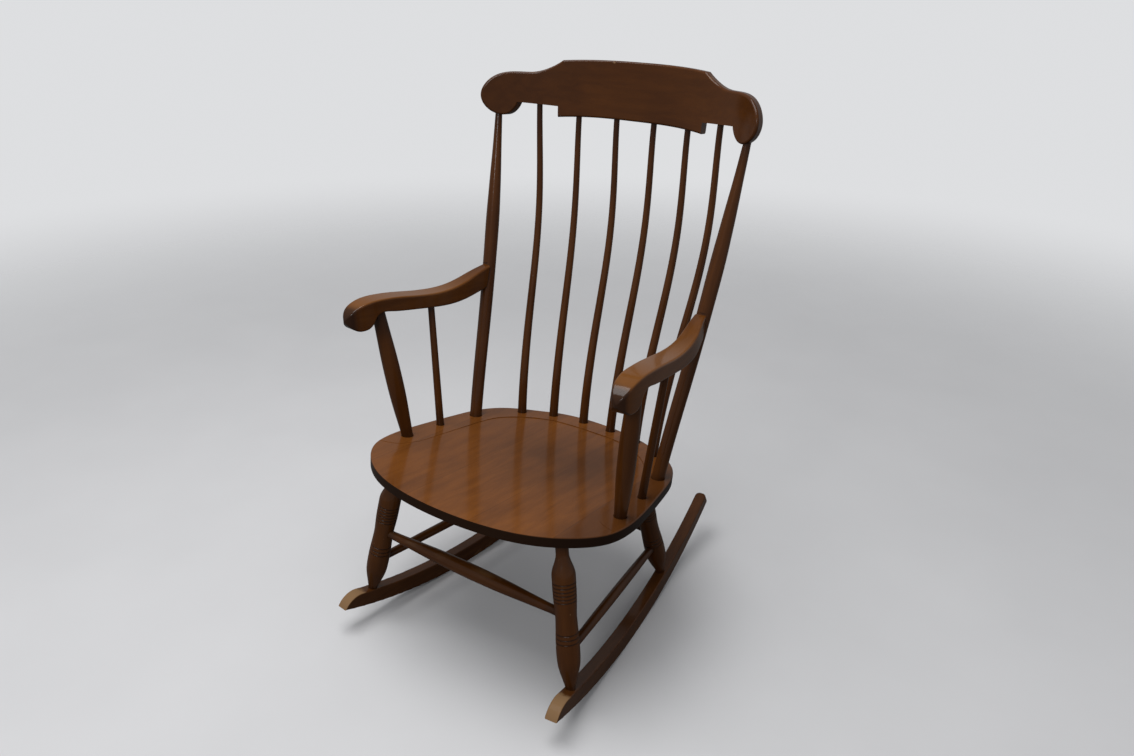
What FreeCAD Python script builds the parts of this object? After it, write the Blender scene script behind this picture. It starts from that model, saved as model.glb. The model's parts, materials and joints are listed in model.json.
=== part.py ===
import FreeCAD, Part
import math
import os

# A wooden rocking chair with a crest rail, six bent back spindles and scrolled arms.
# Millimetres and degrees. The floor is z = 0 and the sitter faces -Y, with +X on the
# right of someone who stands in front of the chair and looks at it. The origin lies on
# the floor, halfway between the rockers and halfway along them.
V = FreeCAD.Vector
UP = V(0, 0, 1)
ACROSS = V(1, 0, 0)

# How the pieces fit each other
fit_gap = 0.1              # all round a tenon in its bored hole
end_gap = 0.5              # between the end of a tenon and the bottom of its hole
overrun = 6                # how far a cutter runs past the face that it opens

# Rockers
rocker_length = 784
rocker_spacing = 442       # between the two centre planes, halfway along
rocker_toe = 6.45          # the tails stand closer together than the noses
rocker_thickness = 26
rocker_depth = 38
rocker_bottom_radius = 1025
rocker_top_radius = 1127
rocker_contact = -36       # where the rocker meets the floor, along it from its middle
rocker_nose = 50           # how far back along the top the rounded nose starts
rocker_tip = 3             # how far back its underside ends
rocker_nose_bulge = 8.5    # of the nose's arc above the straight way from top to tip
rocker_tail_corner = 11    # radius of the tail's upright corners
rocker_edge = 2.5

# Seat
seat_width = 584
seat_depth = 558
seat_thickness = 32
seat_rim = 20              # upright part of its edge, above the wide bevel underneath
seat_bevel = 33            # how far the bevel runs in under the rim
seat_height = 365          # top of the seat in the middle of its outline
seat_slope = 7             # the seat falls towards the back
seat_forward = 89.5        # middle of the seat ahead of the middle of the rockers
seat_top_edge = 3
seat_mouth_bevel = 1.2     # round the mouths of the holes in its top
deck_step = 0.5            # rim deck above the hollowed part
hollow_depth = 4.5         # of the saddle below the rest of the hollowed part

# Half outline of the seat from the front middle to the back middle, as shares of the
# half width and half depth, and the edge of the raised deck from the back to the side
seat_outline_shares = [
    (0, -1), (0.34, -0.97), (0.6, -0.89), (0.84, -0.72), (0.965, -0.54), (1, -0.36),
    (0.98, -0.07), (0.92, 0.3), (0.85, 0.56), (0.74, 0.72), (0.6, 0.82), (0.44, 0.91),
    (0.24, 0.97), (0, 1),
]
deck_edge_shares = [
    (0, 0.8), (0.35, 0.76), (0.55, 0.63), (0.65, 0.5), (0.7, 0.28), (0.75, -0.17),
    (0.765, -0.28), (0.8, -0.37), (0.85, -0.44), (0.91, -0.47), (0.97, -0.485), (1.06, -0.49),
]
hollow_half_share = 0.753
hollow_sections_shares = [(-1.1, 0.2), (-0.65, 0.75), (-0.15, 1), (0.35, 0.8), (0.9, 0.05)]

# Where the pieces stand on the seat, as shares of its half width and half depth
back_post_place_share = (0.805, 0.412)
back_spindle_place_shares = [(0.123, 0.925), (0.373, 0.872), (0.592, 0.744)]
arm_post_place_share = (0.898, -0.28)
arm_spindle_place_share = (0.87, 0.058)
front_leg_place_share = (0.69, -0.625)
rear_leg_place_share = (0.585, 0.535)

# Crest rail, in a frame that leans back with it
crest_bottom = 990         # its lower edge in the middle
crest_back = 281           # its middle surface behind the middle of the rockers
crest_lean = 5
crest_span = 628
crest_height = 115
crest_thickness = 21
crest_radius = 500
crest_edge = 4
crest_top_shares = [(0, 1), (0.19, 0.996), (0.37, 0.977), (0.522, 0.943)]
crest_ear_shares = [
    (0.522, 0.943), (0.605, 0.8), (0.7, 0.71), (0.815, 0.693), (0.908, 0.631), (0.978, 0.453),
    (1, 0.24), (0.975, 0.06), (0.93, -0.044), (0.885, -0.08), (0.847, -0.062), (0.812, 0.02),
    (0.787, 0.164),
]
crest_wing_shares = [(0.787, 0.164), (0.535, 0.143)]
crest_step_shares = [(0.535, 0.143), (0.532, -0.048)]
crest_lower_shares = [(0, 0.005), (0.25, 0.002), (0.532, -0.048)]
back_post_top_share = (0.909, -0.078)
back_spindle_top_shares = [(0.14, 0), (0.408, -0.015), (0.669, 0.152)]

# Back posts
post_diameter = 29.3       # at its widest, above the arm
post_foot_depth = 24
post_top_depth = 26
post_sway_out = 1.5        # the line of the post bends outward and back by this
post_sway_back = 9
post_sway_shares = [(0, 0), (0.2, 0.3), (0.35, 0.78), (0.6, 1), (0.8, 0.7), (1, 0)]
post_width_shares = [(0, 0.905), (0.16, 0.925), (0.32, 0.95), (0.48, 0.973), (0.645, 1),
                     (0.725, 0.94), (0.805, 0.82), (0.885, 0.672), (0.962, 0.546), (1, 0.495)]

# Back spindles
spindle_foot_diameter = 20
spindle_top_diameter = 12
spindle_foot_depth = 22
spindle_top_depth = 22
spindle_sway_outs = [0, 5, 7]          # from the middle of the back outwards
spindle_sway_backs = [25, 23, 30]
spindle_sway_shares = [(0, 0), (0.12, -0.06), (0.3, 0.23), (0.47, 0.73), (0.6, 0.98), (0.7, 0.95),
                       (0.81, 0.67), (0.9, 0.33), (1, 0)]
rod_rings = 14             # rings that guide the surface of a bent rod

# Arms, in a frame that turns outward with them: lengths run forward from the back post
arm_height = 622           # lowest point of the underside
arm_length = 373
arm_rise = 62
arm_width = 46
arm_toe = 6.4
arm_edge = 4
arm_flat = 2.5             # depth of the flat on the post behind the arm
arm_shoulder = 3           # the flat runs past the arm by this
arm_end_shares = (0.12, 0.93)     # lower and upper corner of its back end
arm_side_shares = [
    (-0.08, 1), (0, 0.911), (0.055, 0.839), (0.165, 0.661), (0.288, 0.573), (0.418, 0.621),
    (0.542, 0.742), (0.66, 0.879), (0.774, 0.976), (0.83, 1), (0.885, 0.984), (0.94, 0.905),
    (0.982, 0.74), (1, 0.5), (0.975, 0.26), (0.943, 0.135), (0.908, 0.1), (0.872, 0.14),
    (0.845, 0.28), (0.825, 0.45), (0.78, 0.53), (0.725, 0.468), (0.588, 0.306), (0.42, 0.121),
    (0.323, 0.032), (0.216, 0), (0.146, 0.032), (0.062, 0.113), (-0.08, 0.25),
]
arm_plan_shares = [
    (-0.08, 0.23), (0, 0.265), (0.12, 0.41), (0.272, 0.48), (0.53, 0.513), (0.71, 0.52),
    (0.84, 0.49), (0.93, 0.42), (0.982, 0.27), (1, 0.05), (0.985, -0.2), (0.935, -0.345),
    (0.84, -0.405), (0.71, -0.413), (0.53, -0.443), (0.272, -0.33), (0.12, -0.28), (0, -0.265),
    (-0.08, -0.23),
]

# Arm posts and arm spindles
arm_post_foot_diameter = 24
arm_post_belly_diameter = 34
arm_post_top_diameter = 26
arm_post_tenon_diameter = 15
arm_post_foot_depth = 22
arm_post_top_depth = 14
arm_post_cope = 9          # its body runs up past the lowest touch of the arm, cut to its shape
arm_post_top_share = (0.787, 0.53)
arm_post_belly_shares = [(0.12, 0.8), (0.3, 0.955), (0.47, 1), (0.66, 0.955), (0.85, 0.83)]
arm_spindle_foot_diameter = 16.5
arm_spindle_top_diameter = 13.7
arm_spindle_foot_depth = 20
arm_spindle_top_depth = 14
arm_spindle_top_share = (0.42, 0.121)

# Screw through the back post into the arm, and the plug that covers its head
screw_diameter = 4.5
screw_head_diameter = 9
screw_head_height = 3
screw_reach = 34           # into the arm
screw_level_share = 0.42
butt_rounds = 12           # steps that home in on the place of the butt joint on the post
plug_diameter = 10
plug_length = 6

# Legs
leg_diameter = 44
leg_foot_diameter = 19
leg_foot_depth = 20
leg_top_diameter = 24
leg_top_depth = 22
leg_groove_diameter = 3
front_leg_place_on_rocker_share = -0.794
rear_leg_place_on_rocker_share = 0.327
leg_profile_shares = [
    (0.08, 0.68), (0.16, 0.93), (0.23, 1), (0.36, 0.98), (0.525, 0.91), (0.605, 0.975), (0.73, 1),
    (0.765, 1), (0.792, 0.975), (0.825, 0.86), (0.865, 0.67),
]
upper_groove_shares = [0.61, 0.634, 0.658, 0.682, 0.706, 0.73]
lower_groove_shares = [0.331, 0.361, 0.391]

# Stretchers
stretcher_stop = 7         # their ends stop this far short of the line of the leg
stretcher_end_diameter = 17
front_stretcher_diameter = 30
side_stretcher_diameter = 20
rear_stretcher_diameter = 22
front_stretcher_level_share = 0.5
side_stretcher_front_level_share = 0.252
side_stretcher_rear_level_share = 0.29
rear_stretcher_level_share = 0.45
long_belly_shares = [(0.12, 0.3), (0.28, 0.75), (0.5, 1), (0.72, 0.75), (0.88, 0.3)]


def mirrored(shape):
    """The same piece on the other side of the chair."""
    return shape.mirror(V(0, 0, 0), ACROSS)


def largest(shape):
    """Biggest solid of what a cut or a join leaves."""
    return max(shape.Solids, key=lambda solid: solid.Volume)


def both_ways(points):
    """Points of a half outline, with their mirror images before them."""
    images = [V(-point.x, point.y, point.z) for point in reversed(points) if point.x > 0]
    return images + points


def curve(points):
    """Straight edge through two points, smooth edge through more."""
    if len(points) == 2:
        return Part.makeLine(points[0], points[1])
    smooth = Part.BSplineCurve()
    smooth.interpolate(points)
    return smooth.toShape()


def face_of(edges):
    """Flat face inside a ring of edges."""
    return Part.Face(Part.Wire(Part.__sortEdges__(edges)))


def seat_place():
    """Frame on top of the seat: x across, y back along its slope, z out of it."""
    return FreeCAD.Placement(V(0, -seat_forward, seat_height), FreeCAD.Rotation(ACROSS, -seat_slope))


def on_seat(place_share, depth=0):
    """Point of the seat at a place on its outline's box, a depth below its top."""
    across, back = place_share
    return seat_place().multVec(V(across * seat_width / 2, back * seat_depth / 2, -depth))


def crest_place():
    """Frame of the crest rail: x across, z up along its lean."""
    return FreeCAD.Placement(V(0, crest_back, crest_bottom), FreeCAD.Rotation(ACROSS, -crest_lean))


def on_crest(place_share):
    """Point of the crest rail's middle surface, which bends round the sitter's back."""
    across, up = place_share
    x = across * crest_span / 2
    bend = crest_radius - math.sqrt(crest_radius ** 2 - x ** 2)
    return crest_place().multVec(V(x, -bend, up * crest_height))


def rocker_place():
    """Frame of the right rocker: y runs back along it, z is up from the floor."""
    return FreeCAD.Placement(V(rocker_spacing / 2, 0, 0), FreeCAD.Rotation(UP, rocker_toe))


def arc_height(radius, along):
    """Height of an arc, with its lowest point where the rocker meets the floor."""
    return radius - math.sqrt(radius ** 2 - (along - rocker_contact) ** 2)


def on_rocker(place_share, depth):
    """Point of the right rocker's centre plane, a depth below its top."""
    along = place_share * rocker_length / 2
    height = rocker_depth + arc_height(rocker_top_radius, along)
    return rocker_place().multVec(V(0, along, height - depth))


class SwayedLine:
    """Smooth line from foot to top that sways off the straight way between them."""

    def __init__(self, foot, top, sway, sway_shares):
        points = [foot + (top - foot) * along + sway * share for along, share in sway_shares]
        self.path = curve(points)
        self.length = self.path.Length
        self.foot, self.first = self.at(0)
        self.top, self.last = self.at(1)

    def at(self, share):
        """Point and direction at a share of the way from foot to top."""
        place = self.path.getParameterByLength(share * self.length)
        return self.path.valueAt(place), self.path.tangentAt(place)


def peg(point, direction, diameter, length):
    """Round peg that starts at a point."""
    return Part.makeCylinder(diameter / 2, length, point, direction)


def bore(point, inward, diameter, depth):
    """Cutter for the hole of a round tenon that goes in at a point."""
    start = point - inward * overrun
    return peg(start, inward, diameter + 2 * fit_gap, overrun + depth + end_gap)


def seat_hole(foot, inward, diameter, depth):
    """Cutter for a hole in the seat's top, with a small bevel round its mouth."""
    down = seat_place().Rotation.multVec(UP * -1)
    widest = diameter / 2 + seat_mouth_bevel + overrun
    bevel = Part.makeCone(widest, diameter / 2, overrun + seat_mouth_bevel, foot - down * overrun, down)
    return bore(foot, inward, diameter, depth).fuse(bevel)


def width_at(width_shares, share):
    """Width share of a turning, straight between the stations of its table."""
    for before, after in zip(width_shares, width_shares[1:]):
        if share <= after[0]:
            part = (share - before[0]) / (after[0] - before[0])
            return before[1] + part * (after[1] - before[1])
    return width_shares[-1][1]


def bent_rod(line, diameter, width_shares, foot_depth, top_depth):
    """Rod along a bent line, with a straight tenon past each end."""
    rings = []
    for number in range(rod_rings + 1):
        share = number / rod_rings
        point, direction = line.at(share)
        ring = Part.Wire(Part.makeCircle(width_at(width_shares, share) * diameter / 2))
        ring.Placement = FreeCAD.Placement(point, FreeCAD.Rotation(UP, direction))
        rings.append(ring)
    shaft = Part.makeLoft(rings, True)
    foot = peg(line.foot, line.first * -1, width_shares[0][1] * diameter, foot_depth)
    head = peg(line.top, line.last, width_shares[-1][1] * diameter, top_depth)
    return largest(shaft.fuse([foot, head]).removeSplitter())


def turned(start, end, profile):
    """Piece turned about the line from start to end, from (distance, diameter) pairs.

    It is straight between the first two pairs and between the last two, which are its
    tenons, and has one smooth outline through all that lies between them.
    """
    points = [V(diameter / 2, 0, distance) for distance, diameter in profile]
    edges = [
        curve(points[:2]),
        curve(points[1:-1]),
        curve(points[-2:]),
        curve([V(0, 0, points[0].z), points[0]]),
        curve([points[-1], V(0, 0, points[-1].z)]),
        curve([V(0, 0, points[-1].z), V(0, 0, points[0].z)]),
    ]
    piece = face_of(edges).revolve(V(0, 0, 0), UP, 360)
    piece.Placement = FreeCAD.Placement(start, FreeCAD.Rotation(UP, end - start))
    return piece


class Leg:
    """Turned leg from a hole in the rocker to a hole in the seat's underside."""

    def __init__(self, rocker_share, seat_share):
        middle_of_tenon = on_rocker(rocker_share, leg_foot_depth / 2)
        self.top = on_seat(seat_share, seat_thickness)
        self.up = (self.top - middle_of_tenon).normalize()
        self.foot = middle_of_tenon + self.up * (leg_foot_depth / 2)
        self.length = self.top.distanceToPoint(self.foot)

    def at(self, share):
        return self.foot + self.up * (self.length * share)

    def shape(self):
        """Vase turning with two bands of shallow grooves."""
        total = leg_foot_depth + self.length + leg_top_depth
        profile = [(0, leg_foot_diameter)]
        profile.append((leg_foot_depth + leg_foot_diameter / 8, leg_foot_diameter))
        for share, wide_share in leg_profile_shares:
            profile.append((leg_foot_depth + share * self.length, wide_share * leg_diameter))
        neck = leg_foot_depth + self.length - leg_top_diameter
        profile += [(neck, leg_top_diameter), (total, leg_top_diameter)]
        start = self.foot - self.up * leg_foot_depth
        piece = turned(start, self.top, profile)
        grooves = []
        for share in upper_groove_shares + lower_groove_shares:
            radius = width_at(leg_profile_shares, share) * leg_diameter / 2
            groove = Part.makeTorus(radius, leg_groove_diameter / 2)
            groove.Placement = FreeCAD.Placement(self.at(share), FreeCAD.Rotation(UP, self.up))
            grooves.append(groove)
        return largest(piece.cut(grooves))

    def foot_bore(self):
        return bore(self.foot, self.up * -1, leg_foot_diameter, leg_foot_depth)

    def top_bore(self):
        return bore(self.top, self.up, leg_top_diameter, leg_top_depth)


class Stretcher:
    """Turned rail between two points on the lines of two legs."""

    def __init__(self, start, end, middle_diameter):
        self.along = (end - start).normalize()
        self.start = start + self.along * stretcher_stop
        self.end = end - self.along * stretcher_stop
        self.middle_diameter = middle_diameter

    def shape(self):
        """Cigar that swells from its tenons to its middle."""
        total = self.end.distanceToPoint(self.start)
        tenon = leg_diameter / 2
        profile = [(0, stretcher_end_diameter), (tenon, stretcher_end_diameter)]
        for share, swell_share in long_belly_shares:
            swell = swell_share * (self.middle_diameter - stretcher_end_diameter)
            profile.append((tenon + share * (total - 2 * tenon), stretcher_end_diameter + swell))
        profile += [(total - tenon, stretcher_end_diameter), (total, stretcher_end_diameter)]
        return turned(self.start, self.end, profile)

    def bore_at_start(self):
        return bore(self.start + self.along * leg_diameter / 2, self.along * -1,
                    stretcher_end_diameter, leg_diameter / 2)

    def bore_at_end(self):
        return bore(self.end - self.along * leg_diameter / 2, self.along,
                    stretcher_end_diameter, leg_diameter / 2)


def seat_blank():
    """Board with a rounded top edge and a wide bevel under its rim."""
    def ring(inset, depth):
        half_width = seat_width / 2 - inset
        half_depth = seat_depth / 2 - inset
        points = both_ways([V(x * half_width, y * half_depth, -depth) for x, y in seat_outline_shares])
        outline = Part.BSplineCurve()
        outline.interpolate(Points=points[1:], PeriodicFlag=True)
        return Part.Wire(outline.toShape())

    board = Part.Face(ring(0, 0)).extrude(V(0, 0, -seat_rim))
    top = [edge for edge in board.Edges if edge.BoundBox.ZMin > -seat_rim / 2]
    board = board.makeFillet(seat_top_edge, top)
    bevel = Part.makeLoft([ring(0, seat_rim), ring(seat_bevel, seat_thickness)], True, True)
    return largest(board.fuse(bevel).removeSplitter())


def saddle_cutter():
    """Hollow of the seat: a shallow trough, kept inside the edge of the raised deck."""
    half_width = seat_width / 2
    half_depth = seat_depth / 2
    deck_edge = both_ways([V(x * half_width, y * half_depth, -seat_thickness) for x, y in deck_edge_shares])
    front = deck_edge[-1] + V(0, -seat_depth, 0)
    corners = [deck_edge[-1], front, V(-front.x, front.y, front.z), deck_edge[0]]
    edges = [curve(deck_edge)] + [curve(list(pair)) for pair in zip(corners, corners[1:])]
    inside = face_of(edges).extrude(V(0, 0, 2 * seat_thickness))
    sections = []
    for back_share, depth_share in hollow_sections_shares:
        y = back_share * half_depth
        crease = hollow_half_share * half_width
        floor = -deck_step
        low = floor - depth_share * hollow_depth
        right = [V(crease, y, floor), V(seat_width, y, floor), V(seat_width, y, overrun)]
        left = [V(-point.x, point.y, point.z) for point in reversed(right)]
        arc = Part.Arc(left[-1], V(0, y, low), right[0]).toShape()
        ring = right + left
        lines = [curve(list(pair)) for pair in zip(ring, ring[1:])]
        sections.append(Part.Wire(Part.__sortEdges__(lines + [arc])))
    return Part.makeLoft(sections, True).common(inside)


def crest_blank():
    """Bent board with eared ends, before the holes in its lower edge."""
    def points(shares):
        return [V(x * crest_span / 2, -crest_radius, z * crest_height) for x, z in shares]

    edges = [curve(both_ways(points(crest_top_shares))), curve(both_ways(points(crest_lower_shares)))]
    for shares in (crest_ear_shares, crest_wing_shares, crest_step_shares):
        right = curve(points(shares))
        edges += [right, mirrored(right)]
    front = face_of(edges).extrude(V(0, 2 * crest_radius, 0))
    centre = V(0, -crest_radius, -crest_height)
    outer = Part.makeCylinder(crest_radius + crest_thickness / 2, 3 * crest_height, centre)
    inner = Part.makeCylinder(crest_radius - crest_thickness / 2, 3 * crest_height, centre)
    board = largest(outer.cut(inner).common(front))
    rounded = [edge for edge in board.Edges if edge.Length > crest_height]
    return board.makeFillet(crest_edge, rounded)


def rocker_blank():
    """Right rocker: long curved runner with a sloping round nose and a rounded tail."""
    def low(along):
        return V(0, along, arc_height(rocker_bottom_radius, along))

    def high(along):
        return V(0, along, rocker_depth + arc_height(rocker_top_radius, along))

    tail = rocker_length / 2
    nose = high(rocker_nose - tail)
    tip = low(rocker_tip - tail)
    outward = V(0, tip.z - nose.z, nose.y - tip.y).normalize()
    round_of_nose = (nose + tip) * 0.5 + outward * rocker_nose_bulge
    slant = (tail - rocker_contact) / rocker_bottom_radius
    high_tail = high(tail - rocker_depth * slant)
    edges = [
        Part.Arc(tip, low(rocker_contact), low(tail)).toShape(),
        Part.makeLine(low(tail), high_tail),
        Part.Arc(high_tail, high(rocker_contact), nose).toShape(),
        Part.Arc(nose, round_of_nose, tip).toShape(),
    ]
    board = face_of(edges).extrude(V(rocker_thickness, 0, 0))
    board.translate(V(-rocker_thickness / 2, 0, 0))
    corners = [edge for edge in board.Edges
               if edge.CenterOfMass.y > tail / 2 and edge.BoundBox.ZLength > rocker_depth / 2
               and edge.Length < 2 * rocker_depth]
    board = board.makeFillet(rocker_tail_corner, corners)
    long_edges = [edge for edge in board.Edges if edge.Length > rocker_length / 2]
    board = board.makeFillet(rocker_edge, long_edges)
    board.Placement = rocker_place()
    return board


class Butt:
    """Where the right arm meets the flat on the front of the back post."""

    def __init__(self, line):
        level = arm_height + screw_level_share * arm_rise
        share = screw_level_share
        for _ in range(butt_rounds):
            point, direction = line.at(share)
            share += (level - point.z) / (direction.z * line.length)
        point, self.axis = line.at(share)
        ahead = FreeCAD.Rotation(UP, arm_toe).multVec(V(0, -1, 0))
        self.ahead = (ahead - self.axis * ahead.dot(self.axis)).normalize()
        self.face = point + self.ahead * (post_diameter / 2 - arm_flat)
        self.back = point - self.ahead * (post_diameter / 2)

    def place(self):
        """Frame of the arm: x outward, y back along it, z up from its underside."""
        base = V(self.face.x, self.face.y, arm_height)
        return FreeCAD.Placement(base, FreeCAD.Rotation(UP, arm_toe))

    def on_arm(self, side_share):
        """Point of the arm's middle plane in its side view."""
        ahead, up = side_share
        return self.place().multVec(V(0, -ahead * arm_length, up * arm_rise))

    def block(self, reach, below, above):
        """Block on the flat that reaches ahead, or back if its reach is negative."""
        box = Part.makeBox(2 * arm_width, abs(reach), below + above)
        box.translate(V(-arm_width, min(-reach, 0), -below))
        y_axis = self.ahead * -1
        turn = FreeCAD.Rotation(y_axis.cross(self.axis), y_axis, self.axis, "ZYX")
        box.Placement = FreeCAD.Placement(self.face, turn).multiply(box.Placement)
        return box


def arm_blank(butt):
    """Right arm: its side view through its plan, cut to lie on the flat of the post."""
    side = curve([V(0, -y * arm_length, z * arm_rise) for y, z in arm_side_shares])
    heel = curve([side.Vertexes[-1].Point, side.Vertexes[0].Point])
    board = face_of([side, heel]).extrude(V(2 * arm_width, 0, 0))
    board.translate(V(-arm_width, 0, 0))
    rim = curve([V(x * arm_width, -y * arm_length, -arm_rise) for y, x in arm_plan_shares])
    back = curve([rim.Vertexes[-1].Point, rim.Vertexes[0].Point])
    plan = face_of([rim, back]).extrude(V(0, 0, 3 * arm_rise))
    arm = largest(board.common(plan))
    long_edges = [edge for edge in arm.Edges if edge.Length > arm_length / 2]
    arm = arm.makeFillet(arm_edge, long_edges)
    arm.Placement = butt.place()
    return largest(arm.cut(butt.block(-arm_length, arm_rise, arm_rise)))


def post_notch(butt):
    """Cutter for the flat on the back post, a little taller than the end of the arm."""
    low_share, high_share = arm_end_shares
    below = (screw_level_share - low_share) * arm_rise + arm_shoulder
    above = (high_share - screw_level_share) * arm_rise + arm_shoulder
    return butt.block(arm_width, below, above)


nodes = {}

# Legs and stretchers
front_leg = Leg(front_leg_place_on_rocker_share, front_leg_place_share)
rear_leg = Leg(rear_leg_place_on_rocker_share, rear_leg_place_share)
front_right = front_leg.at(front_stretcher_level_share)
front_left = V(-front_right.x, front_right.y, front_right.z)
rear_right = rear_leg.at(rear_stretcher_level_share)
rear_left = V(-rear_right.x, rear_right.y, rear_right.z)
front_stretcher = Stretcher(front_left, front_right, front_stretcher_diameter)
rear_stretcher = Stretcher(rear_left, rear_right, rear_stretcher_diameter)
side_stretcher = Stretcher(front_leg.at(side_stretcher_front_level_share),
                           rear_leg.at(side_stretcher_rear_level_share), side_stretcher_diameter)
front_bores = [front_stretcher.bore_at_end(), side_stretcher.bore_at_start()]
rear_bores = [rear_stretcher.bore_at_end(), side_stretcher.bore_at_end()]
nodes["leg_front"] = largest(front_leg.shape().cut(front_bores))
nodes["leg_rear"] = largest(rear_leg.shape().cut(rear_bores))
nodes["side_stretcher"] = side_stretcher.shape()
nodes["rocker"] = largest(rocker_blank().cut([front_leg.foot_bore(), rear_leg.foot_bore()]))

# Back post, with the flat for the arm, the screw and its plug
post_line = SwayedLine(on_seat(back_post_place_share), on_crest(back_post_top_share),
                       V(post_sway_out, post_sway_back, 0), post_sway_shares)
post_foot_diameter = post_width_shares[0][1] * post_diameter
post_top_diameter = post_width_shares[-1][1] * post_diameter
post = bent_rod(post_line, post_diameter, post_width_shares, post_foot_depth, post_top_depth)
butt = Butt(post_line)
plug_hole = peg(butt.back - butt.ahead * overrun, butt.ahead, plug_diameter,
                overrun + plug_length + screw_head_height)
nodes["arm_plugs"] = peg(butt.back - butt.ahead * overrun, butt.ahead, plug_diameter - 2 * fit_gap,
                         overrun + plug_length - fit_gap).common(post)
head_start = butt.back + butt.ahead * plug_length
shank_length = butt.back.distanceToPoint(butt.face) - plug_length + screw_reach
screw = peg(head_start, butt.ahead, screw_head_diameter, screw_head_height - fit_gap)
nodes["arm_screws"] = screw.fuse(peg(head_start, butt.ahead, screw_diameter, shank_length)).removeSplitter()
screw_hole = peg(head_start, butt.ahead, screw_diameter + 2 * fit_gap, shank_length + end_gap)
nodes["back_post"] = largest(post.cut([post_notch(butt), plug_hole, screw_hole]))

# Arm, with the post and the spindle that carry it
arm = arm_blank(butt)
arm_post_foot = on_seat(arm_post_place_share)
arm_post_top = butt.on_arm(arm_post_top_share)
arm_post_up = (arm_post_top - arm_post_foot).normalize()
arm_post_length = arm_post_top.distanceToPoint(arm_post_foot)
arm_post_total = arm_post_foot_depth + arm_post_length
profile = [(0, arm_post_foot_diameter)]
profile.append((arm_post_foot_depth + arm_post_foot_diameter / 4, arm_post_foot_diameter))
for share, wide_share in arm_post_belly_shares:
    profile.append((arm_post_foot_depth + share * arm_post_length, wide_share * arm_post_belly_diameter))
profile.append((arm_post_total - arm_post_top_diameter / 4, arm_post_top_diameter))
profile.append((arm_post_total + arm_post_cope, arm_post_top_diameter))
body = largest(turned(arm_post_foot - arm_post_up * arm_post_foot_depth, arm_post_top, profile).cut(arm))
tenon = peg(arm_post_top - arm_post_up * arm_post_top_diameter, arm_post_up, arm_post_tenon_diameter,
            arm_post_top_diameter + arm_post_top_depth)
nodes["arm_post"] = largest(body.fuse(tenon).removeSplitter())

arm_spindle_foot = on_seat(arm_spindle_place_share)
arm_spindle_top = butt.on_arm(arm_spindle_top_share)
arm_spindle_up = (arm_spindle_top - arm_spindle_foot).normalize()
arm_spindle_total = arm_spindle_top.distanceToPoint(arm_spindle_foot) + arm_spindle_foot_depth
profile = [
    (0, arm_spindle_foot_diameter),
    (arm_spindle_foot_depth + arm_spindle_foot_diameter / 4, arm_spindle_foot_diameter),
    (arm_spindle_total - arm_spindle_top_diameter / 4, arm_spindle_top_diameter),
    (arm_spindle_total + arm_spindle_top_depth, arm_spindle_top_diameter),
]
arm_spindle_start = arm_spindle_foot - arm_spindle_up * arm_spindle_foot_depth
nodes["arm_spindle"] = turned(arm_spindle_start, arm_spindle_top, profile)
nodes["arm"] = largest(arm.cut([
    bore(arm_post_top, arm_post_up, arm_post_tenon_diameter, arm_post_top_depth),
    bore(arm_spindle_top, arm_spindle_up, arm_spindle_top_diameter, arm_spindle_top_depth),
    screw_hole,
]))

# Back spindles, from the middle of the chair outwards
sways = [V(out, back, 0) for out, back in zip(spindle_sway_outs, spindle_sway_backs)]
spindle_lines = [SwayedLine(on_seat(place), on_crest(top), sway, spindle_sway_shares)
                 for place, top, sway in zip(back_spindle_place_shares, back_spindle_top_shares, sways)]
taper_shares = [(0, 1), (1, spindle_top_diameter / spindle_foot_diameter)]
spindles = [bent_rod(line, spindle_foot_diameter, taper_shares, spindle_foot_depth, spindle_top_depth)
            for line in spindle_lines]

# Crest rail
top_bores = [bore(post_line.top, post_line.last, post_top_diameter, post_top_depth)]
top_bores += [bore(line.top, line.last, spindle_top_diameter, spindle_top_depth) for line in spindle_lines]
crest = crest_blank()
crest.Placement = crest_place()
crest_rail = largest(crest.cut(top_bores + [mirrored(hole) for hole in top_bores]))

# Seat
seat_bores = [
    seat_hole(post_line.foot, post_line.first * -1, post_foot_diameter, post_foot_depth),
    seat_hole(arm_post_foot, arm_post_up * -1, arm_post_foot_diameter, arm_post_foot_depth),
    seat_hole(arm_spindle_foot, arm_spindle_up * -1, arm_spindle_foot_diameter, arm_spindle_foot_depth),
    front_leg.top_bore(),
    rear_leg.top_bore(),
]
seat_bores += [seat_hole(line.foot, line.first * -1, spindle_foot_diameter, spindle_foot_depth)
               for line in spindle_lines]
board = seat_blank().cut(saddle_cutter())
board.Placement = seat_place()
seat = largest(board.cut(seat_bores + [mirrored(hole) for hole in seat_bores]))

os.makedirs("parts", exist_ok=True)
for name in ("arm_screws", "arm_plugs"):
    right = nodes.pop(name).Solids[0]
    Part.makeCompound([right, mirrored(right)]).exportStep("parts/" + name + ".step")
for name, right in nodes.items():
    right.exportStep("parts/" + name + "_right.step")
    mirrored(right).exportStep("parts/" + name + "_left.step")
for number, right in enumerate(reversed(spindles), 1):
    mirrored(right).exportStep("parts/back_spindle_" + str(number) + ".step")
    right.exportStep("parts/back_spindle_" + str(2 * len(spindles) + 1 - number) + ".step")
front_stretcher.shape().exportStep("parts/front_stretcher.step")
rear_stretcher.shape().exportStep("parts/rear_stretcher.step")
crest_rail.exportStep("parts/crest_rail.step")
seat.exportStep("parts/seat.step")
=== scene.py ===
import bpy
import json
import math
import numpy as np
from mathutils import Matrix, Vector


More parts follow.
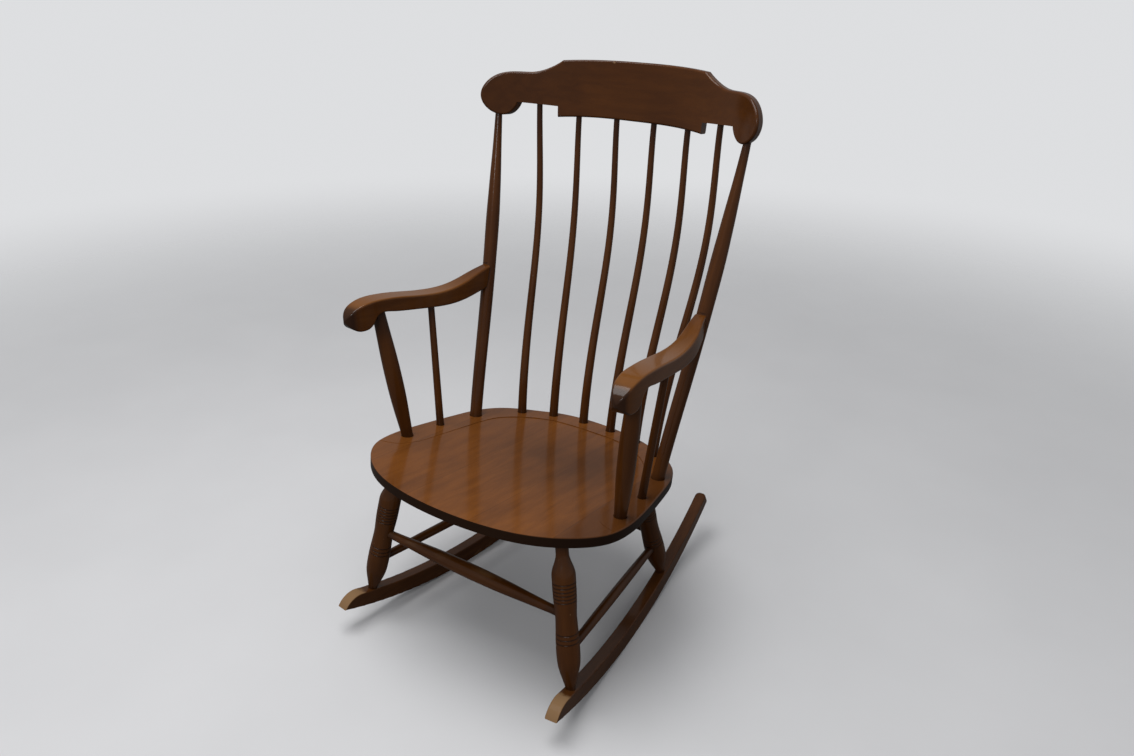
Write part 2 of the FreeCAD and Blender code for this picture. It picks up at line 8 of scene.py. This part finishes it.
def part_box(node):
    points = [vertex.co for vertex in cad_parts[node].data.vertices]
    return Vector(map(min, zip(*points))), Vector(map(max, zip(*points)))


# A wooden rocking chair, stained reddish brown and varnished. Lengths are metres, z is up,
# the sitter faces -Y, and each section takes one piece or group from the floor upwards.
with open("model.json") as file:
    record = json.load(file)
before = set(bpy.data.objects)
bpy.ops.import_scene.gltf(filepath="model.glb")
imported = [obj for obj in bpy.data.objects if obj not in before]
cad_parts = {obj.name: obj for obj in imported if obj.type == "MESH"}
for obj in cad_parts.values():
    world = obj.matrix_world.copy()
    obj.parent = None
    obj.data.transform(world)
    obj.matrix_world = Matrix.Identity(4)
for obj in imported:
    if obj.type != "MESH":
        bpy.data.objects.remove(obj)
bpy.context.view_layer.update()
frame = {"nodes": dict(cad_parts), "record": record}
nodes = frame["nodes"]

# Rockers
# Two long hardwood runners, sawn to a curve, planed and stained. The legs are glued in blind
# holes in their tops. Where feet and floors rub their noses, the finish is worn to bare wood.
rocker_light = (0.088, 0.030, 0.0065)
rocker_dark = (0.038, 0.0115, 0.0025)
bare_wood = (0.25, 0.15, 0.075)
nose_wear_start = -0.328
nose_wear_full = -0.340
varnish_roughness = 0.3
varnish_weight = 0.4
varnish_gleam = 0.03
stain_black = (0.012, 0.005, 0.003)
figure_scale = 60
figure_stretch = (1, 1, 0.07)
figure_distortion = 0.5
figure_range = (0.3, 0.72)
figure_share = 0.35
streak_scale = 340
streak_stretch = (1, 1, 0.035)
streak_share = 0.3
streak_roughness = 0.05
pore_scale = 1300
pore_stretch = (1, 1, 0.05)
pore_range = (0.60, 0.72)
pore_darkening = 0.25
blotch_scale = 7
blotch_range = (0.3, 0.7)
blotch_share = 0.35
blotch_roughness = 0.16
bare_roughness = 0.4
coat_roughness = 0.12
bump_streak = 0.7
bump_pore = 0.5
bump_strength = 0.12
bump_distance = 0.0004
nose_wobble = 0.02
nose_wobble_scale = 90
nose_side_range = (0.55, 0.9)
nose_wear_share = 0.85
scuff_scale = 45
scuff_stretch = (1, 0.3, 1)
scuff_range = (0.62, 0.74)
scuff_height_range = (0.06, 0.02)
scuff_share = 0.3


class Reading:
    """A number or colour that changes over a surface. Sums written on it add Math nodes."""

    def __init__(self, finish, socket):
        self.finish = finish
        self.socket = socket

    def maths(self, operation, *values):
        return self.finish.node("ShaderNodeMath", {"operation": operation}, values)

    def __add__(self, other):
        return self.maths("ADD", self, other)

    def __sub__(self, other):
        return self.maths("SUBTRACT", self, other)

    def __rsub__(self, other):
        return self.maths("SUBTRACT", other, self)

    def __mul__(self, other):
        return self.maths("MULTIPLY", self, other)

    def __truediv__(self, other):
        return self.maths("DIVIDE", self, other)

    def __rtruediv__(self, other):
        return self.maths("DIVIDE", other, self)

    def __abs__(self):
        return self.maths("ABSOLUTE", self)

    __radd__ = __add__
    __rmul__ = __mul__


class Finish:
    """The node material of one piece."""

    def __init__(self, name):
        self.material = bpy.data.materials.new(name)
        self.material.use_nodes = True
        self.tree = self.material.node_tree
        self.shader = self.tree.nodes["Principled BSDF"]

    def feed(self, socket, value):
        if isinstance(value, Reading):
            self.tree.links.new(value.socket, socket)
        else:
            socket.default_value = value

    def node(self, kind, settings, values, output=0):
        """Adds a node: its settings first, then the values or links of its sockets."""
        made = self.tree.nodes.new(kind)
        for name, setting in settings.items():
            setattr(made, name, setting)
        pairs = values.items() if isinstance(values, dict) else enumerate(values)
        for key, value in pairs:
            self.feed(made.inputs[key], value)
        return Reading(self, made.outputs[output])

    def mix(self, share, first, second):
        """Colour part of the way from the first to the second."""
        first = (*first, 1) if isinstance(first, tuple) else first
        second = (*second, 1) if isinstance(second, tuple) else second
        return self.node("ShaderNodeMix", {"data_type": "RGBA"}, {0: share, 6: first, 7: second}, 2)

    def ramp(self, value, start, end, smooth=True):
        """Mask that rises from 0 to 1 as the value goes from start to end."""
        settings = {"interpolation_type": "SMOOTHSTEP" if smooth else "LINEAR"}
        values = {"Value": value, "From Min": start, "From Max": end}
        return self.node("ShaderNodeMapRange", settings, values)

    def noise(self, place, scale, detail, stretch=(1, 1, 1), distortion=0):
        """Cloudy pattern, drawn out along a piece by a stretch below 1."""
        drawn = self.node("ShaderNodeVectorMath", {"operation": "MULTIPLY"}, {0: place, 1: stretch})
        values = {"Vector": drawn, "Scale": scale, "Detail": detail, "Distortion": distortion}
        return self.node("ShaderNodeTexNoise", {}, values, "Fac")

    def distance(self, place, point):
        return self.node("ShaderNodeVectorMath", {"operation": "DISTANCE"}, {0: place, 1: point}, "Value")


def grain_frame(piece):
    """Middle of a piece and the turn that brings its longest axis to z."""
    points = np.array([vertex.co for vertex in piece.data.vertices])
    middle = (points.min(0) + points.max(0)) / 2
    spread = np.linalg.eigh(np.cov((points - points.mean(0)).T))
    axis = Vector(spread.eigenvectors[:, 2])
    if max(axis, key=abs) < 0:
        axis.negate()
    turn = axis.rotation_difference(Vector((0, 0, 1))).to_matrix()
    return Vector(middle), turn


class Wood(Finish):
    """Stained and varnished hardwood with its grain along the longest axis of a piece."""

    def __init__(self, name, piece, light, dark, turn=None):
        super().__init__(name)
        middle, found = grain_frame(piece)
        turn = turn or found
        self.world = self.node("ShaderNodeTexCoord", {}, {}, "Object")
        self.place = self.node("ShaderNodeMapping", {}, {
            "Vector": self.world,
            "Location": turn @ -middle,
            "Rotation": turn.to_euler(),
        })
        self.x, self.y, self.z = self.parts(self.world)
        self.along = self.parts(self.place)[2]
        figure = self.noise(self.place, figure_scale, 3, figure_stretch, figure_distortion)
        streak = self.noise(self.place, streak_scale, 4, streak_stretch)
        self.pores = self.ramp(self.noise(self.place, pore_scale, 2, pore_stretch), *pore_range)
        self.blotch = self.noise(self.world, blotch_scale, 3)
        tone = figure_share * self.ramp(figure, *figure_range) + streak_share * streak
        tone = tone + blotch_share * self.ramp(self.blotch, *blotch_range)
        self.colour = self.mix(tone, dark, light)
        self.darken(self.pores * pore_darkening)
        self.roughness = varnish_roughness + blotch_roughness * self.blotch + streak_roughness * streak
        self.weight = varnish_weight

    def parts(self, vector):
        """The three numbers of a vector."""
        split = self.tree.nodes.new("ShaderNodeSeparateXYZ")
        self.feed(split.inputs[0], vector)
        return [Reading(self, output) for output in split.outputs]

    def facing(self):
        """The three numbers of the direction that the surface faces."""
        return self.parts(self.node("ShaderNodeNewGeometry", {}, {}, "Normal"))

    def darken(self, share):
        self.colour = self.mix(share, self.colour, stain_black)

    def wear(self, share, bare):
        """Rubs the finish off to bare wood: paler, rougher and without varnish."""
        self.colour = self.mix(share, self.colour, bare)
        self.roughness = self.roughness + bare_roughness * share
        self.weight = self.weight * (1 - share)

    def done(self):
        self.feed(self.shader.inputs["Base Color"], self.colour)
        self.feed(self.shader.inputs["Roughness"], self.roughness)
        self.feed(self.shader.inputs["Coat Weight"], self.weight)
        self.shader.inputs["Coat Roughness"].default_value = coat_roughness
        self.shader.inputs["Specular IOR Level"].default_value = varnish_gleam
        height = bump_streak * self.noise(self.place, streak_scale, 2, pore_stretch) - bump_pore * self.pores
        values = {"Height": height, "Strength": bump_strength, "Distance": bump_distance}
        self.feed(self.shader.inputs["Normal"], self.node("ShaderNodeBump", {}, values, "Normal"))
        return self.material


def dress(name, material):
    """Gives a node of the frame its material."""
    for slot in nodes[name].material_slots:
        slot.material = material


for side in ("left", "right"):
    name = "rocker_" + side
    wood = Wood(name + "_wood", nodes[name], rocker_light, rocker_dark)
    wobble = nose_wobble * (wood.noise(wood.world, nose_wobble_scale, 3) - 0.5)
    facing = wood.facing()
    off_side = 1 - wood.ramp(abs(facing[0]), *nose_side_range)
    nose = wood.ramp(wood.y + wobble, nose_wear_start, nose_wear_full)
    wood.wear(nose * off_side * nose_wear_share, bare_wood)
    scuffs = wood.ramp(wood.noise(wood.world, scuff_scale, 5, scuff_stretch), *scuff_range)
    wood.wear(scuffs * wood.ramp(wood.z, *scuff_height_range) * scuff_share, bare_wood)
    dress(name, wood.done())

# Legs
# Four turned hardwood legs with a vase shape, glued into the rockers and the seat. Two bands
# of shallow grooves go round each leg, and they are painted as darker lines.
turned_light = (0.088, 0.028, 0.0045)
turned_dark = (0.038, 0.011, 0.002)
leg_foot_depth = 0.020
leg_top_depth = 0.022
groove_half_width = 0.0013
groove_bands = [(0.61, 0.024, 6), (0.331, 0.03, 3)]
groove_darkening = 0.75
end_darkening = 0.5
leg_top_range = (0.9, 1)
leg_foot_range = (0.06, 0)
speck_scale = 160
speck_range = (0.74, 0.8)
speck_patch_range = (0.45, 0.6)
speck_share = 0.6

for name in ("leg_front_left", "leg_front_right", "leg_rear_left", "leg_rear_right"):
    wood = Wood(name + "_wood", nodes[name], turned_light, turned_dark)
    points = np.array([vertex.co for vertex in nodes[name].data.vertices])
    middle, turn = grain_frame(nodes[name])
    reach = [(turn @ (Vector(point) - middle)).z for point in points]
    foot = min(reach) + leg_foot_depth
    length = max(reach) - leg_top_depth - foot
    share = (wood.along - foot) / length
    for first, pitch, count in groove_bands:
        step = (share - first) / pitch
        off = abs(step - step.maths("ROUND", step)) * (pitch * length)
        in_band = wood.ramp(abs(step - (count - 1) / 2), count / 2, count / 2 - 0.1)
        in_groove = wood.ramp(off, 1.5 * groove_half_width, 0.5 * groove_half_width)
        wood.darken(in_band * in_groove * groove_darkening)
    wood.darken(wood.ramp(share, *leg_top_range) * end_darkening)
    wood.darken(wood.ramp(share, *leg_foot_range) * end_darkening)
    specks = wood.ramp(wood.noise(wood.world, speck_scale, 2), *speck_range)
    wood.wear(specks * wood.ramp(wood.blotch, *speck_patch_range) * speck_share, bare_wood)
    dress(name, wood.done())

# Stretchers
# Four turned rails that swell towards the middle, glued into bored holes in the legs. The
# front one is the thickest, and shoe soles have dulled its top.
stretcher_dark_reach = 0.045
stretcher_dark_full = 0.02
rubbed_scale = 30
rubbed_stretch = (0.4, 1, 1)
rubbed_range = (0.5, 0.7)
rubbed_up_range = (0.2, 0.9)
rubbed_share = 0.22

for name in ("front_stretcher", "rear_stretcher", "side_stretcher_left", "side_stretcher_right"):
    wood = Wood(name + "_wood", nodes[name], turned_light, turned_dark)
    low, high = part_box(name)
    half = (high - low).length / 2
    ends = wood.ramp(abs(wood.along), half - stretcher_dark_reach, half - stretcher_dark_full)
    wood.darken(ends * end_darkening)
    if name == "front_stretcher":
        facing = wood.facing()
        rubbed = wood.ramp(wood.noise(wood.world, rubbed_scale, 4, rubbed_stretch), *rubbed_range)
        wood.wear(rubbed * wood.ramp(facing[2], *rubbed_up_range) * rubbed_share, bare_wood)
    dress(name, wood.done())

# Seat
# A thick plank glued up from boards that run from front to back, hollowed to a shallow saddle
# below a raised rear deck, with a rounded rim whose sides are painted near black as shade.
seat_light = (0.19, 0.063, 0.011)
seat_dark = (0.092, 0.029, 0.0055)
# Near-black colour of the painted shade on the seat rim's sides.
rim_painted_shade = (0.010, 0.0055, 0.0035)
board_seams = [-0.228, -0.080, 0.068, 0.2165]
board_tones = [0.10, -0.04, 0.05, -0.02, -0.22]
seam_half_width = 0.0005
seam_darkening = 0.35
tone_reach = 0.4
rim_shade_side_range = (0.85, 0.45)
rim_shade_depth_range = (0.0006, 0.0026)
rim_shade_share = 0.95
rim_dullness = 0.8
chip_scale = 240
chip_range = (0.70, 0.76)
chip_side_range = (0.95, 0.75)
chip_front_range = (-0.2, -0.28)
chip_share = 0.8
# Where and how strongly the crest rail's dark reflection is painted into the middle of the seat.
crest_reflection_middle = (0.05, -0.03, 0)
crest_reflection_stretch = (1, 1.1, 0)
crest_reflection_range = (0.25, 0.05)
crest_reflection_patch_range = (0.1, 0.7)
crest_reflection_darkening = 0.6
right_board_range = (0.16, 0.27)
right_board_darkening = 0.35
mount = frame["record"]["mounts"][0]
deck_place = Vector(mount["pos_m"])
deck_normal = Vector(mount["axis"])
deck_fall = deck_normal.y / deck_normal.z
deck_level = deck_place.z + deck_fall * deck_place.y

front_to_back = Matrix.Rotation(math.radians(90), 3, "X")
wood = Wood("seat_wood", nodes["seat"], seat_light, seat_dark, front_to_back)
tone = board_tones[0]
for seam, before, after in zip(board_seams, board_tones, board_tones[1:]):
    past = wood.ramp(wood.x, seam - seam_half_width, seam + seam_half_width, False)
    tone = tone + past * (after - before)
wood.colour = wood.mix(wood.ramp(tone, 0, tone_reach, False), wood.colour, seat_light)
wood.colour = wood.mix(wood.ramp(tone, 0, -tone_reach, False), wood.colour, seat_dark)
for seam in board_seams:
    wood.darken(wood.ramp(abs(wood.x - seam), 2 * seam_half_width, 0) * seam_darkening)
facing = wood.facing()
depth = deck_level - deck_fall * wood.y - wood.z
# The rim's sides, which face sideways and down, are painted near black as shade, and their varnish is dulled.
rim_shade = wood.ramp(facing[2], *rim_shade_side_range) * wood.ramp(depth, *rim_shade_depth_range)
wood.colour = wood.mix(rim_shade * rim_shade_share, wood.colour, rim_painted_shade)
wood.weight = wood.weight * (1 - rim_dullness * rim_shade)
chips = wood.ramp(wood.noise(wood.world, chip_scale, 3), *chip_range) * wood.ramp(facing[2], *chip_side_range)
wood.wear(chips * (1 - rim_shade) * wood.ramp(wood.y, *chip_front_range) * chip_share, bare_wood)
# A patchy dark reflection of the crest rail is painted into the middle of the seat.
flat = wood.node("ShaderNodeVectorMath", {"operation": "MULTIPLY"}, {0: wood.world, 1: crest_reflection_stretch})
crest_reflection = wood.ramp(wood.distance(flat, crest_reflection_middle), *crest_reflection_range)
wood.darken(crest_reflection * wood.ramp(wood.blotch, *crest_reflection_patch_range) * crest_reflection_darkening)
wood.darken(wood.ramp(wood.x, *right_board_range) * right_board_darkening)
dress("seat", wood.done())

# Back posts
# Two stout posts, turned to a long taper and bent back, glued into the seat and the crest
# rail. Each has a flat in front where the arm butts against it.
post_light = (0.088, 0.028, 0.0045)
post_dark = (0.038, 0.011, 0.002)
post_top_range = (0.93, 1.0)
post_foot_range = (0.375, 0.345)

for side in ("left", "right"):
    name = "back_post_" + side
    wood = Wood(name + "_wood", nodes[name], post_light, post_dark)
    wood.darken(wood.ramp(wood.z, *post_top_range) * end_darkening)
    wood.darken(wood.ramp(wood.z, *post_foot_range) * end_darkening)
    dress(name, wood.done())

# Back spindles
# Six slender spindles that taper upwards and are bent with the sitter's back, glued into the
# seat and the lower edge of the crest rail. They are painted darker towards both ends.
spindle_count = 6
spindle_dark_top = 0.10
spindle_dark_foot = 0.06
spindle_dark_full = 0.02

for number in range(1, spindle_count + 1):
    name = "back_spindle_" + str(number)
    wood = Wood(name + "_wood", nodes[name], post_light, post_dark)
    low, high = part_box(name)
    top = wood.ramp(wood.z, high.z - spindle_dark_top, high.z - spindle_dark_full)
    wood.darken(top * end_darkening)
    foot = wood.ramp(wood.z, low.z + spindle_dark_foot, low.z + spindle_dark_full)
    wood.darken(foot * end_darkening)
    dress(name, wood.done())

# Crest rail
# A wide bent board with rounded ears, bored from below for the posts and spindles. Its top
# edge is rubbed paler, and has a small chip. Shade is painted on its underside.
crest_light = (0.074, 0.0225, 0.003)
crest_dark = (0.040, 0.0115, 0.0018)
edge_wear_scale = 60
edge_wear_stretch = (0.5, 1, 1)
edge_wear_range = (0.48, 0.7)
edge_up_range = (0.3, 0.8)
edge_wear_share = 0.25
crest_chip_place = (-0.052, 0.27, 1.104)
crest_chip_range = (0.012, 0.009)
crest_chip_raggedness = 0.006
crest_chip_scale = 300
crest_chip_share = 0.8
# Painted shade on the faces of the crest rail that look down.
crest_underside_shade_range = (-0.4, -0.8)
crest_underside_shade = 0.6

wood = Wood("crest_wood", nodes["crest_rail"], crest_light, crest_dark)
facing = wood.facing()
worn = wood.ramp(wood.noise(wood.world, edge_wear_scale, 4, edge_wear_stretch), *edge_wear_range)
wood.wear(worn * wood.ramp(facing[2], *edge_up_range) * edge_wear_share, bare_wood)
from_chip = wood.distance(wood.world, crest_chip_place)
from_chip = from_chip + crest_chip_raggedness * wood.noise(wood.world, crest_chip_scale, 3)
wood.wear(wood.ramp(from_chip, *crest_chip_range) * crest_chip_share, bare_wood)
# Shade is painted on the faces that look down.
wood.darken(wood.ramp(facing[2], *crest_underside_shade_range) * crest_underside_shade)
dress("crest_rail", wood.done())

# Arms
# Two arms sawn from thick board: each sweeps down from the back post, swells towards the
# front and rolls over in a scroll. A sheen is painted lighter on the top towards the front,
# shade is painted under the arm, and the scroll's front end grain has taken the stain almost black.
arm_light = (0.12, 0.040, 0.007)
arm_dark = (0.056, 0.017, 0.003)
# Colour of the painted sheen on the arm tops.
arm_painted_sheen = (0.18, 0.068, 0.014)
sheen_up_range = (0.35, 0.95)
sheen_front_range = (0.09, -0.05)
sheen_share = 0.6
polish_smoothness = 0.06
end_grain_reach = 0.034
end_grain_full = 0.012
end_grain_front_range = (-0.1, -0.55)
end_grain_darkening = 0.8
# Painted shade on the faces of the arm that look down.
arm_underside_shade_range = (-0.2, -0.7)
arm_underside_shade = 0.4

for side in ("left", "right"):
    name = "arm_" + side
    wood = Wood(name + "_wood", nodes[name], arm_light, arm_dark)
    facing = wood.facing()
    # A sheen is painted lighter on the faces that look up, towards the front of the arm.
    painted_sheen = wood.ramp(facing[2], *sheen_up_range) * wood.ramp(wood.y, *sheen_front_range)
    wood.colour = wood.mix(painted_sheen * sheen_share, wood.colour, arm_painted_sheen)
    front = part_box(name)[0].y
    end_grain = wood.ramp(wood.y, front + end_grain_reach, front + end_grain_full)
    wood.darken(end_grain * wood.ramp(facing[1], *end_grain_front_range) * end_grain_darkening)
    # Shade is painted on the faces that look down.
    wood.darken(wood.ramp(facing[2], *arm_underside_shade_range) * arm_underside_shade)
    wood.roughness = wood.roughness - polish_smoothness
    dress(name, wood.done())

# Arm posts and arm spindles
# Under each arm stand a stout turned post, which bellies out in the middle, and a plain
# tapered spindle. Both are glued into the seat and into bored holes in the arm.
arm_rod_foot_range = (0.42, 0.375)
arm_rod_top_range = (0.59, 0.63)

for name in ("arm_post_left", "arm_post_right", "arm_spindle_left", "arm_spindle_right"):
    wood = Wood(name + "_wood", nodes[name], turned_light, turned_dark)
    wood.darken(wood.ramp(wood.z, *arm_rod_foot_range) * end_darkening)
    wood.darken(wood.ramp(wood.z, *arm_rod_top_range) * end_darkening)
    dress(name, wood.done())

# Screws and plugs
# A steel screw through each back post pulls the arm against it, and a round plug of the same
# wood, cut off flush and stained, covers its head.
steel_dark = (0.42, 0.42, 0.43)
steel_light = (0.6, 0.6, 0.61)
steel_roughness = 0.25
brush_scale = 900
brush_stretch = (1, 0.1, 1)
brush_roughness = 0.2
plug_darkening = 0.25

steel = Finish("screw_steel")
spot = steel.node("ShaderNodeTexCoord", {}, {}, "Object")
brushed = steel.noise(spot, brush_scale, 3, brush_stretch)
steel.feed(steel.shader.inputs["Base Color"], steel.mix(brushed, steel_dark, steel_light))
steel.feed(steel.shader.inputs["Roughness"], steel_roughness + brush_roughness * brushed)
steel.shader.inputs["Metallic"].default_value = 1
dress("arm_screws", steel.material)
wood = Wood("plug_wood", nodes["arm_plugs"], post_light, post_dark, Matrix.Identity(3))
wood.darken(plug_darkening)
dress("arm_plugs", wood.done())

# Floor and light
# A plain pale floor under a large soft lamp overhead, with a weaker one in front. Its paint
# reads darker in the varnish than to the eye, so that the wood keeps its own colour.
floor_half = 6
floor_fade_start = 1.3
floor_fade_end = 4.5
floor_cloud_scale = 3
floor_dark = (0.60, 0.60, 0.61)
floor_light = (0.66, 0.66, 0.67)
floor_in_varnish = (0.16, 0.155, 0.15)
floor_roughness = 0.7
floor_cloud_roughness = 0.1
fill_strength = 0.38
backdrop_strength = 0.75
backdrop_colour = (0.97, 0.98, 1, 1)

floor_mesh = bpy.data.meshes.new("floor")
corners = [(-floor_half, -floor_half, 0), (floor_half, -floor_half, 0), (floor_half, floor_half, 0)]
floor_mesh.from_pydata(corners + [(-floor_half, floor_half, 0)], [], [(0, 1, 2, 3)])
floor = bpy.data.objects.new("floor", floor_mesh)
bpy.context.scene.collection.objects.link(floor)
pale = Finish("floor_paint")
spot = pale.node("ShaderNodeTexCoord", {}, {}, "Object")
cloud = pale.noise(spot, floor_cloud_scale, 4)
paint = pale.mix(cloud, floor_dark, floor_light)
seen = pale.node("ShaderNodeLightPath", {}, {}, "Is Camera Ray")
pale.feed(pale.shader.inputs["Base Color"], pale.mix(seen, floor_in_varnish, paint))
pale.feed(pale.shader.inputs["Roughness"], floor_roughness + floor_cloud_roughness * cloud)
away = pale.node("ShaderNodeVectorMath", {"operation": "LENGTH"}, {0: spot}, "Value")
pale.feed(pale.shader.inputs["Alpha"], pale.ramp(away, floor_fade_end, floor_fade_start))
floor_mesh.materials.append(pale.material)


def soft_lamp(name, place, aim, size, power):
    """Square soft lamp that faces a point."""
    lamp = bpy.data.lights.new(name, "AREA")
    lamp.size = size
    lamp.energy = power
    held = bpy.data.objects.new(name, lamp)
    held.location = place
    held.rotation_euler = (Vector(aim) - Vector(place)).to_track_quat("-Z", "Y").to_euler()
    bpy.context.scene.collection.objects.link(held)


soft_lamp("lamp_above", (-0.4, -0.6, 3.2), (0, 0, 0.4), 2.0, 68)
soft_lamp("lamp_front", (0.6, -3.0, 2.4), (0, 0, 0.6), 0.9, 24)

world = bpy.data.worlds.new("studio")
bpy.context.scene.world = world
world.use_nodes = True
room = world.node_tree
background = room.nodes["Background"]
rays = room.nodes.new("ShaderNodeLightPath")
strength = room.nodes.new("ShaderNodeMapRange")
strength.inputs["To Min"].default_value = fill_strength
strength.inputs["To Max"].default_value = backdrop_strength
room.links.new(rays.outputs["Is Camera Ray"], strength.inputs["Value"])
room.links.new(strength.outputs[0], background.inputs["Strength"])
background.inputs["Color"].default_value = backdrop_colour

# Camera
# It stands in front of the chair, to the right of its middle and above it, and looks down.
image_width = 1134
focal_pixels = 892.3
sensor_width = 36
camera_place = (0.9388, -1.3551, 1.2809)
camera_azimuth = 33.88
camera_pitch = 24.87
camera_roll = 0.90
lens = bpy.data.cameras.new("camera")
lens.sensor_width = sensor_width
lens.lens = focal_pixels * sensor_width / image_width
camera = bpy.data.objects.new("camera", lens)
turn = Matrix.Rotation(math.radians(camera_azimuth), 4, "Z")
turn = turn @ Matrix.Rotation(math.radians(90 - camera_pitch), 4, "X")
turn = turn @ Matrix.Rotation(math.radians(camera_roll), 4, "Z")
camera.matrix_world = Matrix.Translation(camera_place) @ turn
bpy.context.scene.collection.objects.link(camera)
bpy.context.scene.camera = camera

bpy.context.scene.view_settings.view_transform = "Standard"
